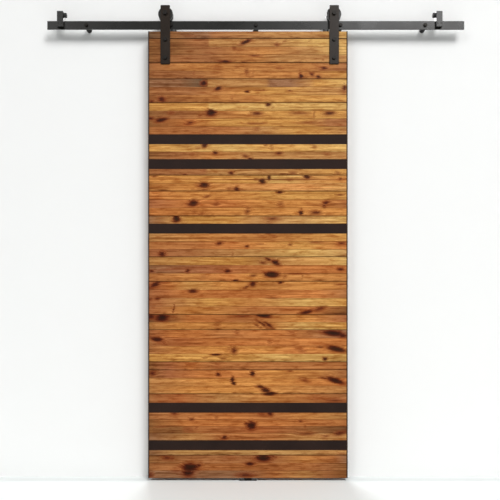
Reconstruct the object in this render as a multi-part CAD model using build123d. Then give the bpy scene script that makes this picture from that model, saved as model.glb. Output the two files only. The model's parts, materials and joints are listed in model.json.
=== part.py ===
from build123d import *
from math import sqrt
import os

# A sliding barn door that hangs from a flat rail on two straight strap hangers.
# Millimetres. X runs along the rail, Y into the wall and Z up.
# The origin is on the wall, behind the middle spacer, at the height of the rail's centre line.

# Rail, and the spacers and screws that hold it off the wall
rail_length = 2000.0
rail_height = 40.0
rail_thickness = 6.0
rail_chamfer = 0.6
spacer_count = 5
end_spacer_margin = 187.2
spacer_length = 50.0
spacer_diameter = 25.0
spacer_chamfer = 0.8
lag_diameter = 8.0
lag_hole_clearance = 0.5
lag_thread_diameter = 7.4
lag_wall_depth = 60.0
lag_tip_length = 9.0
lag_head_width = 13.0
lag_head_height = 5.5
lag_washer_diameter = 20.0
lag_washer_thickness = 1.6

# Grooved wheels and what they turn on
tread_radius = 28.0
flange_radius = 35.0
wheel_width = 30.0
wheel_edge_fillet = 1.5
groove_side_clearance = 0.6
groove_flare = 2.4
wheel_running_gap = 0.3
wheel_recess_depth = 2.5
wheel_recess_inner_radius = 19.5
wheel_recess_outer_radius = 31.0
bearing_outer_radius = 16.0
bearing_width = 10.0
bearing_seat_clearance = 0.02
bearing_running_clearance = 0.05
bearing_side_clearance = 0.2
shoulder_lip = 2.0
sleeve_radius = 9.0
sleeve_collar_radius = 12.0
axle_diameter = 12.0
axle_clearance = 0.1
axle_head_width = 18.0
axle_head_height = 7.5
axle_nut_width = 18.0
axle_nut_height = 10.0
axle_end_length = 2.0

# Strap hangers
strap_width = 45.0
strap_thickness = 6.0
strap_above_axle = 38.0
strap_below_axle = 242.0
strap_wheel_gap = 2.5
strap_corner_chamfer = 2.5
strap_edge_chamfer = 0.7
strap_bolt_diameter = 10.0
strap_bolt_clearance = 0.25
strap_bolt_spacing = 87.0
strap_bolt_end_margin = 29.0
strap_head_width = 16.0
strap_head_height = 6.4
strap_washer_diameter = 24.0
strap_washer_thickness = 2.0
strap_nut_height = 8.0
strap_bolt_end_length = 3.0
left_strap_inset = 82.5
right_strap_inset = 65.0

# Door: boards, each of one or more strips, in sections that the bands part.
# A board is (strips, height that shows), from the top down.
sections = [
    [(1, 35.0), (3, 116.0), (2, 77.0), (3, 114.0), (4, 150.0)],
    [(2, 71.5)],
    [(1, 30.0), (2, 76.0), (3, 119.0), (1, 36.0)],
    [(3, 112.0), (3, 117.0), (4, 158.0), (2, 73.0), (4, 153.0), (1, 38.5), (3, 114.0), (1, 42.0)],
    [(4, 132.0)],
    [(1, 25.0), (3, 109.6)],
]
band_height = 47.0
band_thickness = 3.0
band_clearance = 0.15
door_width = 952.5
door_thickness = 44.5
door_centre_x = -37.8
door_top_gap = 16.0
seam_chamfer = 2.2
strip_line_depth = 0.9
tongue_thickness = 10.0
tongue_height = 8.0
tongue_side_clearance = 0.2
tongue_end_clearance = 1.0
edge_bar_thickness = 6.0
edge_bar_chamfer = 0.5
edge_screw_diameter = 4.0
edge_screw_length = 36.0
edge_screw_head_diameter = 8.0
edge_screw_clearance = 0.1
edge_screw_least_board = 70.0

# Anti-jump discs on the door's top edge, below the rail
disc_radius = 14.0
disc_height = 12.0
disc_chamfer = 1.0
disc_offset = 38.0
disc_screw_diameter = 5.0
disc_screw_clearance = 0.1
disc_screw_head_diameter = 10.0
disc_screw_depth = 20.0

# Floor guide, whose fin runs in a groove in the door's bottom edge
floor_gap = 13.0
guide_fin_length = 36.0
guide_fin_thickness = 7.0
guide_fin_fillet = 3.0
guide_fin_engagement = 15.0
guide_side_clearance = 0.5
guide_groove_depth = 20.0
guide_base_length = 84.0
guide_base_depth = 36.0
guide_base_thickness = 2.5
guide_base_chamfer = 0.6
guide_screw_spacing = 64.0
guide_screw_diameter = 4.8
guide_screw_length = 32.0
guide_screw_clearance = 0.15

# End stops, which grip the rail. A stop's margin is from the rail's end to the stop's far side.
left_stop_margin = 50.0
right_stop_margin = 108.0
stop_length = 30.0
stop_depth = 32.0
stop_above_rail = 42.0
stop_below_rail_top = 32.0
stop_slot_clearance = 0.1
stop_chamfer = 1.0
bumper_radius = 11.0
bumper_length = 12.0
bumper_fillet = 1.5
bumper_stem_radius = 3.5
bumper_stem_length = 10.0
bumper_stem_clearance = 0.05
set_screw_diameter = 6.0
set_screw_clearance = 0.05
set_screw_spacing = 16.0
set_screw_socket_width = 3.0
set_screw_socket_depth = 3.0

# Places that follow from the sizes
rail_top = rail_height / 2
rail_front = -spacer_length - rail_thickness
rail_middle = -spacer_length - rail_thickness / 2
spacer_pitch = (rail_length - 2 * end_spacer_margin) / (spacer_count - 1)
spacer_xs = [(i - (spacer_count - 1) / 2) * spacer_pitch for i in range(spacer_count)]
axle_z = rail_top + wheel_running_gap + tread_radius
wheel_front = rail_middle - wheel_width / 2
wheel_back = rail_middle + wheel_width / 2
strap_back = wheel_front - strap_wheel_gap
strap_front = strap_back - strap_thickness
strap_top = axle_z + strap_above_axle
strap_bottom = axle_z - strap_below_axle
strap_height = strap_above_axle + strap_below_axle
lower_bolt_z = strap_bottom + strap_bolt_end_margin
strap_bolt_zs = [lower_bolt_z, lower_bolt_z + strap_bolt_spacing]
guide_screw_head_diameter = guide_screw_diameter + 2 * guide_base_thickness
door_front = strap_back
door_back = door_front + door_thickness
door_middle = (door_front + door_back) / 2
door_top = -rail_height / 2 - door_top_gap
door_height = sum(height for section in sections for _, height in section)
door_height += band_height * (len(sections) - 1)
door_bottom = door_top - door_height
floor_z = door_bottom - floor_gap
door_left = door_centre_x - door_width / 2
door_right = door_centre_x + door_width / 2
board_left = door_left + edge_bar_thickness
board_length = door_width - 2 * edge_bar_thickness
left_wheel_x = door_left + left_strap_inset
right_wheel_x = door_right - right_strap_inset
wheel_xs = [left_wheel_x, right_wheel_x]
disc_xs = [left_wheel_x + disc_offset, right_wheel_x - disc_offset]
left_stop_x = -rail_length / 2 + left_stop_margin + stop_length / 2
right_stop_x = rail_length / 2 - right_stop_margin - stop_length / 2
travel_left = left_wheel_x - flange_radius - (left_stop_x + stop_length / 2 + bumper_length)
travel_right = right_stop_x - stop_length / 2 - bumper_length - right_wheel_x - flange_radius


def write(name, *shapes):
    shape = shapes[0] if len(shapes) == 1 else Compound(children=list(shapes))
    export_step(shape, f"parts/{name}.step")


# A round bar along Y
def rod(radius, start, end, x, z):
    return Pos(x, (start + end) / 2, z) * Rot(90, 0, 0) * Cylinder(radius, abs(end - start))


# A round bar along X
def cross_rod(radius, start, end, y, z):
    return Pos((start + end) / 2, y, z) * Rot(0, 90, 0) * Cylinder(radius, abs(end - start))


# A hexagon that stands out from the face at y by its height: forwards, or backwards if it is negative
def hexagon(across_flats, height, x, y, z):
    outline = Plane.XZ * RegularPolygon(across_flats / 2, 6, major_radius=False)
    return Pos(x, y, z) * extrude(outline, amount=height)


# A solid turned about the Y axis from (radius, y) points, moved to x and z
def turned(points, x=0.0, z=0.0):
    return Pos(x, 0, z) * revolve(Plane.XY * make_face(Polyline(*points, close=True)), Axis.Y)


# A flat-headed screw along Z, its head's top at the origin
def countersunk_screw(diameter, head_diameter, length):
    radius = diameter / 2
    head_radius = head_diameter / 2
    head_height = head_radius - radius
    tip = diameter
    section = Polyline(
        (0, 0),
        (head_radius, 0),
        (radius, -head_height),
        (radius, tip - length),
        (0, -length),
        close=True,
    )
    return revolve(Plane.XZ * make_face(section), Axis.Z)


# The hole that such a screw needs, a little wider everywhere
def countersunk_hole(diameter, head_diameter, length, clearance):
    return countersunk_screw(diameter + 2 * clearance, head_diameter + 2 * clearance, length + clearance)


def rail():
    bar = Pos(0, rail_middle, 0) * Box(rail_length, rail_thickness, rail_height)
    bar = chamfer(bar.edges().filter_by(Axis.X), rail_chamfer)
    for x in spacer_xs:
        bar -= rod(lag_diameter / 2 + lag_hole_clearance, rail_front, -spacer_length, x, 0)
    return bar


def spacer(x):
    tube = rod(spacer_diameter / 2, -spacer_length, 0, x, 0)
    tube = chamfer(tube.edges().filter_by(GeomType.CIRCLE), spacer_chamfer)
    return tube - rod(lag_diameter / 2 + lag_hole_clearance, -spacer_length, 0, x, 0)


def lag_screw(x):
    radius = lag_diameter / 2
    thread_radius = lag_thread_diameter / 2
    head_seat = rail_front - lag_washer_thickness
    shank_points = [
        (0, head_seat),
        (radius, head_seat),
        (radius, 0),
        (thread_radius, 0),
        (thread_radius, lag_wall_depth - lag_tip_length),
        (0, lag_wall_depth),
    ]
    return turned(shank_points, x) + hexagon(lag_head_width, lag_head_height, x, head_seat, 0)


def lag_washer(x):
    disc = rod(lag_washer_diameter / 2, rail_front - lag_washer_thickness, rail_front, x, 0)
    hole = rod(lag_diameter / 2 + lag_hole_clearance, rail_front - lag_washer_thickness, rail_front, x, 0)
    return disc - hole


# The wheel's tread rides on the rail's top edge, between two flanges that reach down its faces
def wheel(x):
    bore = bearing_outer_radius + bearing_seat_clearance
    shoulder_bore = bearing_outer_radius - shoulder_lip
    shoulder = rail_middle + bearing_width / 2
    half_groove = rail_thickness / 2 + groove_side_clearance
    half_mouth = half_groove + groove_flare
    body = turned(
        [
            (bore, wheel_front),
            (flange_radius, wheel_front),
            (flange_radius, rail_middle - half_mouth),
            (tread_radius, rail_middle - half_groove),
            (tread_radius, rail_middle + half_groove),
            (flange_radius, rail_middle + half_mouth),
            (flange_radius, wheel_back),
            (shoulder_bore, wheel_back),
            (shoulder_bore, shoulder),
            (bore, shoulder),
        ]
    )
    rims = body.edges().filter_by(GeomType.CIRCLE).filter_by(lambda e: e.radius > (tread_radius + flange_radius) / 2)
    rims = rims.sort_by(Axis.Y)
    body = fillet([rims[0], rims[-1]], wheel_edge_fillet)
    for face_y in (wheel_front + wheel_recess_depth / 2, wheel_back - wheel_recess_depth / 2):
        ring = Pos(0, face_y, 0) * Rot(90, 0, 0) * Cylinder(wheel_recess_outer_radius, wheel_recess_depth)
        ring -= Pos(0, face_y, 0) * Rot(90, 0, 0) * Cylinder(wheel_recess_inner_radius, wheel_recess_depth)
        body -= ring
    return Pos(x, 0, axle_z) * body


def bearing(x):
    start = rail_middle - bearing_width / 2
    end = rail_middle + bearing_width / 2
    ring = rod(bearing_outer_radius, start, end, x, axle_z)
    return ring - rod(sleeve_radius + bearing_running_clearance, start, end, x, axle_z)


# The sleeve is clamped to the strap by the axle bolt: its collar keeps the wheel clear of the strap
def axle_sleeve(x):
    collar_end = rail_middle - bearing_width / 2 - bearing_side_clearance
    sleeve_end = rail_middle + bearing_width / 2 + bearing_side_clearance
    body = rod(sleeve_collar_radius, strap_back, collar_end, x, axle_z)
    body += rod(sleeve_radius, collar_end, sleeve_end, x, axle_z)
    return body - rod(axle_diameter / 2 + axle_clearance, strap_back, sleeve_end, x, axle_z)


def axle_nut(x):
    seat = rail_middle + bearing_width / 2 + bearing_side_clearance
    nut = hexagon(axle_nut_width, -axle_nut_height, x, seat, axle_z)
    return nut - rod(axle_diameter / 2 + axle_clearance, seat, seat + axle_nut_height, x, axle_z)


def axle_bolt(x):
    end = rail_middle + bearing_width / 2 + bearing_side_clearance + axle_nut_height + axle_end_length
    shank = rod(axle_diameter / 2, strap_front, end, x, axle_z)
    return shank + hexagon(axle_head_width, axle_head_height, x, strap_front, axle_z)


def strap(x):
    plate = Pos(x, (strap_front + strap_back) / 2, (strap_top + strap_bottom) / 2)
    plate *= Box(strap_width, strap_thickness, strap_height)
    plate = chamfer(plate.edges().filter_by(Axis.Y), strap_corner_chamfer)
    plate = chamfer(plate.faces().sort_by(Axis.Y)[0].edges(), strap_edge_chamfer)
    plate -= rod(axle_diameter / 2 + axle_clearance, strap_front, strap_back, x, axle_z)
    for z in strap_bolt_zs:
        plate -= rod(strap_bolt_diameter / 2 + strap_bolt_clearance, strap_front, strap_back, x, z)
    return plate


def strap_bolt(x, z):
    end = door_back + strap_washer_thickness + strap_nut_height + strap_bolt_end_length
    shank = rod(strap_bolt_diameter / 2, strap_front, end, x, z)
    return shank + hexagon(strap_head_width, strap_head_height, x, strap_front, z)


def strap_washer(x, z):
    end = door_back + strap_washer_thickness
    disc = rod(strap_washer_diameter / 2, door_back, end, x, z)
    return disc - rod(strap_bolt_diameter / 2 + strap_bolt_clearance, door_back, end, x, z)


def strap_nut(x, z):
    seat = door_back + strap_washer_thickness
    nut = hexagon(strap_head_width, -strap_nut_height, x, seat, z)
    return nut - rod(strap_bolt_diameter / 2 + strap_bolt_clearance, seat, seat + strap_nut_height, x, z)


# A V cut of the given depth into a face, at a point of the board's section
def notch(y, z, depth):
    side = depth * sqrt(2)
    return Pos(y, z) * Rot(0, 0, 45) * Rectangle(side, side)


# Every board with its edges, the edges that show, its strips and its neighbours, and every band's top.
# Boards meet behind a band, on its centre line.
def lay_out():
    boards = []
    band_tops = []
    z = door_top
    for section in sections:
        if boards:
            band_tops.append(z)
            boards[-1]["bottom"] -= band_height / 2
            z -= band_height
        section_top = z
        for strips, height in section:
            under_band = bool(boards) and z == section_top
            boards.append(
                {
                    "top": z + band_height / 2 if under_band else z,
                    "bottom": z - height,
                    "shown_top": z,
                    "shown_bottom": z - height,
                    "strips": strips,
                    "first": not boards,
                    "last": False,
                }
            )
            z -= height
    boards[-1]["last"] = True
    return boards, band_tops


# A board's section in the YZ plane: a tongue on its top edge, a groove for the next board's
# tongue in its bottom edge, V seams front and back, and a shallow line between its strips.
def board_section(layout, band_tops):
    top = layout["top"]
    bottom = layout["bottom"]
    section = Pos(door_middle, (top + bottom) / 2) * Rectangle(door_thickness, top - bottom)
    if not layout["first"]:
        section += Pos(door_middle, top + tongue_height / 2) * Rectangle(tongue_thickness, tongue_height)
    if layout["last"]:
        groove_depth = guide_groove_depth
        groove_width = guide_fin_thickness + 2 * guide_side_clearance
    else:
        groove_depth = tongue_height + tongue_end_clearance
        groove_width = tongue_thickness + 2 * tongue_side_clearance
    section -= Pos(door_middle, bottom + groove_depth / 2) * Rectangle(groove_width, groove_depth)
    strip_height = (layout["shown_top"] - layout["shown_bottom"]) / layout["strips"]
    for y in (door_front, door_back):
        section -= notch(y, top, seam_chamfer)
        section -= notch(y, bottom, seam_chamfer)
        for i in range(1, layout["strips"]):
            section -= notch(y, layout["shown_top"] - strip_height * i, strip_line_depth)
    for band_top in band_tops:
        if band_top + band_clearance > bottom and band_top - band_height - band_clearance < top:
            housing = Rectangle(2 * band_thickness, band_height + 2 * band_clearance)
            section -= Pos(door_front, band_top - band_height / 2) * housing
    return section


def board(layout, band_tops):
    section = board_section(layout, band_tops)
    body = extrude(Plane.YZ.offset(board_left) * section, amount=board_length)
    for x in wheel_xs:
        for z in strap_bolt_zs:
            if layout["bottom"] - strap_bolt_diameter < z < layout["top"] + strap_bolt_diameter:
                body -= rod(strap_bolt_diameter / 2 + strap_bolt_clearance, door_front, door_back, x, z)
    if layout["first"]:
        for x in disc_xs:
            hole = countersunk_hole(
                disc_screw_diameter,
                disc_screw_head_diameter,
                disc_height + disc_screw_depth,
                disc_screw_clearance,
            )
            body -= Pos(x, rail_middle, door_top + disc_height) * hole
    for side in (-1, 1):
        if takes_edge_screw(layout):
            body -= edge_screw_place(side, layout) * edge_screw_hole()
    return body


def band(top):
    plate = Box(board_length, band_thickness, band_height)
    return Pos(door_centre_x, door_front + band_thickness / 2, top - band_height / 2) * plate


# A flat bar that closes the boards' ends on the left (side -1) or the right (side 1)
def edge_bar(side, boards):
    x = door_centre_x + side * (door_width - edge_bar_thickness) / 2
    bar = Pos(x, door_middle, (door_top + door_bottom) / 2)
    bar *= Box(edge_bar_thickness, door_thickness, door_height)
    outer = bar.faces().sort_by(Axis.X)[-1 if side > 0 else 0]
    bar = chamfer(outer.edges(), edge_bar_chamfer)
    for layout in filter(takes_edge_screw, boards):
        bar -= edge_screw_place(side, layout) * edge_screw_hole()
    return bar


def takes_edge_screw(layout):
    return layout["top"] - layout["bottom"] >= edge_screw_least_board


# Where a board's edge screw sits: its head flush with the edge bar, at the middle of what shows of the board
def edge_screw_place(side, layout):
    x = door_centre_x + side * door_width / 2
    return Pos(x, door_middle, (layout["shown_top"] + layout["shown_bottom"]) / 2) * Rot(0, 90 * side, 0)


def edge_screw():
    return countersunk_screw(edge_screw_diameter, edge_screw_head_diameter, edge_screw_length)


def edge_screw_hole():
    return countersunk_hole(
        edge_screw_diameter, edge_screw_head_diameter, edge_screw_length, edge_screw_clearance
    )


def anti_jump_disc(x):
    disc = Pos(x, rail_middle, door_top + disc_height / 2) * Cylinder(disc_radius, disc_height)
    disc = chamfer(disc.edges().filter_by(GeomType.CIRCLE).sort_by(Axis.Z)[-1], disc_chamfer)
    hole = countersunk_hole(
        disc_screw_diameter, disc_screw_head_diameter, disc_height + disc_screw_depth, disc_screw_clearance
    )
    return disc - Pos(x, rail_middle, door_top + disc_height) * hole


def disc_screw(x):
    screw = countersunk_screw(disc_screw_diameter, disc_screw_head_diameter, disc_height + disc_screw_depth)
    return Pos(x, rail_middle, door_top + disc_height) * screw


def floor_guide():
    base = Pos(door_centre_x, door_middle, floor_z + guide_base_thickness / 2)
    base *= Box(guide_base_length, guide_base_depth, guide_base_thickness)
    base = chamfer(base.faces().sort_by(Axis.Z)[-1].edges(), guide_base_chamfer)
    fin_top = door_bottom + guide_fin_engagement
    fin_height = fin_top - floor_z
    fin = Pos(door_centre_x, door_middle, floor_z + fin_height / 2)
    fin *= Box(guide_fin_length, guide_fin_thickness, fin_height)
    fin = fillet(fin.edges().filter_by(Axis.Z), guide_fin_fillet)
    guide = base + fin
    for place in guide_screw_places():
        guide -= place * countersunk_hole(
            guide_screw_diameter, guide_screw_head_diameter, guide_screw_length, guide_screw_clearance
        )
    return guide


def guide_screw_places():
    z = floor_z + guide_base_thickness
    return [Pos(door_centre_x + side * guide_screw_spacing / 2, door_middle, z) for side in (-1, 1)]


def guide_screw(place):
    return place * countersunk_screw(guide_screw_diameter, guide_screw_head_diameter, guide_screw_length)


# A block over the rail's top edge at x, on side -1 or 1 of the door. Its bumper faces the wheel.
def end_stop(x, side):
    top = rail_top + stop_above_rail
    bottom = rail_top - stop_below_rail_top
    block = Pos(x, rail_middle, (top + bottom) / 2) * Box(stop_length, stop_depth, top - bottom)
    upright_edges = block.edges().filter_by(Axis.Y) + block.edges().filter_by(Axis.Z)
    block = chamfer(upright_edges, stop_chamfer)
    slot_height = rail_top - bottom
    slot = Box(stop_length, rail_thickness + 2 * stop_slot_clearance, slot_height)
    block -= Pos(x, rail_middle, bottom + slot_height / 2) * slot
    face = x - side * stop_length / 2
    stem_end = face + side * (bumper_stem_length + bumper_stem_clearance)
    block -= cross_rod(bumper_stem_radius + bumper_stem_clearance, face, stem_end, rail_middle, axle_z)
    for screw_x, z in set_screw_points(x):
        hole_radius = set_screw_diameter / 2 + set_screw_clearance
        block -= rod(hole_radius, rail_middle - stop_depth / 2, rail_front, screw_x, z)
    return block


def set_screw_points(x):
    z = rail_top - stop_below_rail_top / 2
    return [(x + end * set_screw_spacing / 2, z) for end in (-1, 1)]


def set_screw(x, z):
    start = rail_middle - stop_depth / 2
    screw = rod(set_screw_diameter / 2, start, rail_front, x, z)
    return screw - hexagon(set_screw_socket_width, -set_screw_socket_depth, x, start, z)


def bumper(x, side):
    face = x - side * stop_length / 2
    pad = cross_rod(bumper_radius, face - side * bumper_length, face, rail_middle, axle_z)
    rim = pad.edges().filter_by(GeomType.CIRCLE).sort_by(Axis.X)[0 if side > 0 else -1]
    pad = fillet(rim, bumper_fillet)
    return pad + cross_rod(bumper_stem_radius, face, face + side * bumper_stem_length, rail_middle, axle_z)


os.makedirs("parts", exist_ok=True)
boards, band_tops = lay_out()

write("rail", rail())
for number, x in enumerate(spacer_xs, 1):
    write(f"spacer_{number}", spacer(x))
write("lag_screws", *[lag_screw(x) for x in spacer_xs])
write("lag_washers", *[lag_washer(x) for x in spacer_xs])

for name, x in zip(("left", "right"), wheel_xs):
    write(f"strap_{name}", strap(x))
    write(f"wheel_{name}", wheel(x))
    write(f"bearing_{name}", bearing(x))
    write(f"axle_sleeve_{name}", axle_sleeve(x))
write("axle_bolts", *[axle_bolt(x) for x in wheel_xs])
write("axle_nuts", *[axle_nut(x) for x in wheel_xs])
bolt_points = [(x, z) for x in wheel_xs for z in strap_bolt_zs]
write("strap_bolts", *[strap_bolt(x, z) for x, z in bolt_points])
write("strap_washers", *[strap_washer(x, z) for x, z in bolt_points])
write("strap_nuts", *[strap_nut(x, z) for x, z in bolt_points])

for number, layout in enumerate(boards, 1):
    write(f"board_{number:02d}", board(layout, band_tops))
for number, top in enumerate(band_tops, 1):
    write(f"band_{number}", band(top))
write("edge_bar_left", edge_bar(-1, boards))
write("edge_bar_right", edge_bar(1, boards))
screwed_boards = list(filter(takes_edge_screw, boards))
write("edge_screws", *[edge_screw_place(side, b) * edge_screw() for side in (-1, 1) for b in screwed_boards])
write("anti_jump_discs", *[anti_jump_disc(x) for x in disc_xs])
write("disc_screws", *[disc_screw(x) for x in disc_xs])

write("floor_guide", floor_guide())
write("floor_guide_screws", *[guide_screw(place) for place in guide_screw_places()])
for name, x, side in (("left", left_stop_x, -1), ("right", right_stop_x, 1)):
    write(f"end_stop_{name}", end_stop(x, side))
    write(f"bumper_{name}", bumper(x, side))
grub_points = set_screw_points(left_stop_x) + set_screw_points(right_stop_x)
write("stop_set_screws", *[set_screw(x, z) for x, z in grub_points])
print(f"travel {travel_left:.2f} to the left and {travel_right:.2f} to the right")
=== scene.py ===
import json
import math
import bmesh
import bpy
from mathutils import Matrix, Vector


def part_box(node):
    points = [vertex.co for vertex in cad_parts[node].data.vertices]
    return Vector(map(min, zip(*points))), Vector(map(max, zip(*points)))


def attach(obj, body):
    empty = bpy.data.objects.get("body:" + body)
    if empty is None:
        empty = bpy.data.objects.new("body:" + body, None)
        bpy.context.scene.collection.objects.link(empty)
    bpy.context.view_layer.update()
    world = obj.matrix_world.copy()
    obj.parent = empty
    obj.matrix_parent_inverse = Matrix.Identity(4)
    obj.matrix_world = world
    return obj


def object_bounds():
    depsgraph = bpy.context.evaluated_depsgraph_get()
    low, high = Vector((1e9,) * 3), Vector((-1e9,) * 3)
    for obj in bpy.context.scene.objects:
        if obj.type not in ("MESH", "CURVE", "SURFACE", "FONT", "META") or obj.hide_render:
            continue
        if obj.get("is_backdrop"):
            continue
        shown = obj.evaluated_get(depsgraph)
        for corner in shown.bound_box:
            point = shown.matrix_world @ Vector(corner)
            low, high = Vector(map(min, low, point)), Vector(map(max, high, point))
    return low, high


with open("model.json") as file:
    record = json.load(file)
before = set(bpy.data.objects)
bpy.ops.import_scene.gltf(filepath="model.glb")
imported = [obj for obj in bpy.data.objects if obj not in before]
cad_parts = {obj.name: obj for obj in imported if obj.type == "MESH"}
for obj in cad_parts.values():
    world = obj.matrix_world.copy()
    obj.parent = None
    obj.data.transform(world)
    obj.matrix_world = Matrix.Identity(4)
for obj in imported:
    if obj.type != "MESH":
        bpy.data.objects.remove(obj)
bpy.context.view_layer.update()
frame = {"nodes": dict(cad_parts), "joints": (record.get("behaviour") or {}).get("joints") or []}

nodes = frame["nodes"]
mm = 0.001  # Blender works in metres
cm = 0.01
noiseRange = (0.3, 0.7)  # where nearly all of a noise's values lie
fromTo = ("From Min", "From Max", "To Min", "To Max")  # a Map Range node's inputs


# an sRGB hex value as the linear colour that shaders take
def linearColor(hexCode):
    values = [int(hexCode[i:i + 2], 16) / 255 for i in (1, 3, 5)]
    values = [v / 12.92 if v <= 0.04045 else ((v + 0.055) / 1.055) ** 2.4 for v in values]
    return (*values, 1.0)


# One shader node of a kind: settings are attributes or input values, links are input -> output socket.
# A Mix node takes its factor at input 0, two numbers at 2 and 3, and two colours at 6 and 7.
# Its number leaves at output 0 and its colour at output 2.
def addNode(tree, kind, settings=None, links=None):
    node = tree.nodes.new("ShaderNode" + kind)
    for key, value in (settings or {}).items():
        if isinstance(key, str) and hasattr(node, key):
            setattr(node, key, value)
        else:
            node.inputs[key].default_value = value
    for key, socket in (links or {}).items():
        tree.links.new(socket, node.inputs[key])
    return node


# an empty node material with its Principled shader
def newMaterial(name):
    material = bpy.data.materials.new(name)
    material.use_nodes = True
    tree = material.node_tree
    tree.nodes.clear()
    shader = addNode(tree, "BsdfPrincipled")
    addNode(tree, "OutputMaterial", None, {"Surface": shader.outputs["BSDF"]})
    return material, tree, shader


def fillRamp(ramp, stops):
    while len(ramp.elements) > 1:
        ramp.elements.remove(ramp.elements[0])
    ramp.elements[0].position = stops[0][0]
    ramp.elements[0].color = stops[0][1]
    for place, color in stops[1:]:
        ramp.elements.new(place).color = color


def useMaterial(obj, material):
    obj.data.materials.clear()
    obj.data.materials.append(material)


print("stage: helpers ready")

# softwood stained to a warm brown: each strip has its own tone, from red clay to pale straw
woodTones = {
    "clay": "#A16A3E",
    "rust": "#AB6738",
    "amber": "#BC8044",
    "honey": "#CA964F",
    "straw": "#D3AB64",
    "brick": "#A1643D",
    "russet": "#AC6F3D",
    "copper": "#BD783F",
    "ginger": "#CA8C49",
    "apricot": "#D39656",
    "wheat": "#D29F5C",
    "nut": "#B6814B",
    "tan": "#B8874F",
    "oat": "#BE9359",
    "mauve": "#946A49",
    "smoke": "#71583F",
    "umber": "#875930",
    "bark": "#6C4527",
}

# A pattern's width and length are in mm, across and along the grain. Over its range of the noise it
# multiplies the strip's tone by the first tint, then more and more by the second.
wood = {
    "lines": {           # the fine growth lines
        "width": 2.4,
        "length": 190.0,
        "detail": 6.0,
        "distortion": 0.3,
        "range": (0.34, 0.66),
        "tints": ((0.74, 0.63, 0.52), (1.14, 1.165, 1.2)),
    },
    "streaks": {         # broad, light and dark
        "width": 10.0,
        "length": 380.0,
        "detail": 5.0,
        "distortion": 0.4,
        "range": (0.33, 0.67),
        "tints": ((0.64, 0.52, 0.4), (1.34, 1.41, 1.54)),
    },
    "pores": {           # only seen close up
        "width": 0.7,
        "length": 14.0,
        "detail": 2.0,
        "distortion": 0.0,
        "range": (0.56, 0.68),
        "tints": ((1.0, 1.0, 1.0), (0.72, 0.62, 0.54)),
    },
    "blotches": {        # where the stain soaked in deeper
        "width": 13.0,
        "length": 60.0,
        "detail": 3.0,
        "distortion": 0.3,
        "range": (0.46, 0.72),
        "tints": ((1.0, 1.0, 1.0), (0.62, 0.44, 0.29)),
    },
    "tails": {"width": 4.5, "length": 75.0, "detail": 3.0, "distortion": 0.0},
    "patternDepth": 3.0,       # widths that a pattern reaches into the board
    "patternRoughness": 0.62,
    "stripShift": 0.731,       # metres that the patterns move from one strip to the next
    "boardShift": 1.37,        # metres, the same from board to board
    "tailReach": 19.0,         # mm that a knot's tail runs out along the grain
    "tailDrift": 2.5,          # mm, the same across it
    "knotThrough": 10.0,       # metres, so that a knot goes right through its board
    "knotEdge": 2.4,           # a knot fades in from this many times its half size
    "knotHeart": -0.1,         # and would be at its deepest just past its middle
    "knotBend": 22.0,          # mm that the growth lines bend round a knot
    "knotRings": 7.0,          # growth rings from a deep knot's edge to its heart
    "ringShade": (0.78, 1.22),
    "knotStreaks": (1.12, 0.72),  # how the growth lines change a knot's depth
    # by depth, from a knot's rim to its heart
    "knotColors": ((0.0, "#8E4018"), (0.4, "#6E2A0C"), (0.62, "#421204"), (0.8, "#1E0600")),
    "knotFade": (0.04, 0.55),  # the depths over which its colours cover the strip's tone
    "knotCover": (0.0, 0.96),
    # the dark brown of the strip lines and of the painted shade in the open seams
    "paintedSeamShadeColor": "#2E1204",
    "openSeam": 5.5,           # mm that painted shade reaches in from an open seam
    "openSeamShade": 0.98,
    "patchyShadeReach": 15.0,            # mm that the painted shade spreads beyond it, in patches
    "patchyShadeDepth": 1.0,
    "patchRange": (0.44, 0.7),
    "patchShade": (0.05, 0.75),
    "stripSeam": 1.6,          # mm, the shade at the line between two strips
    "stripSeamShade": 0.5,
    "roughness": 0.5,
    "roughnessSpread": (-0.08, 0.1),
    "relief": 0.35,
    "reliefHeight": 0.4,       # mm
    "poreRelief": 0.5,
    "ior": 1.45,
    "specular": 0.1,
}
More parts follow.
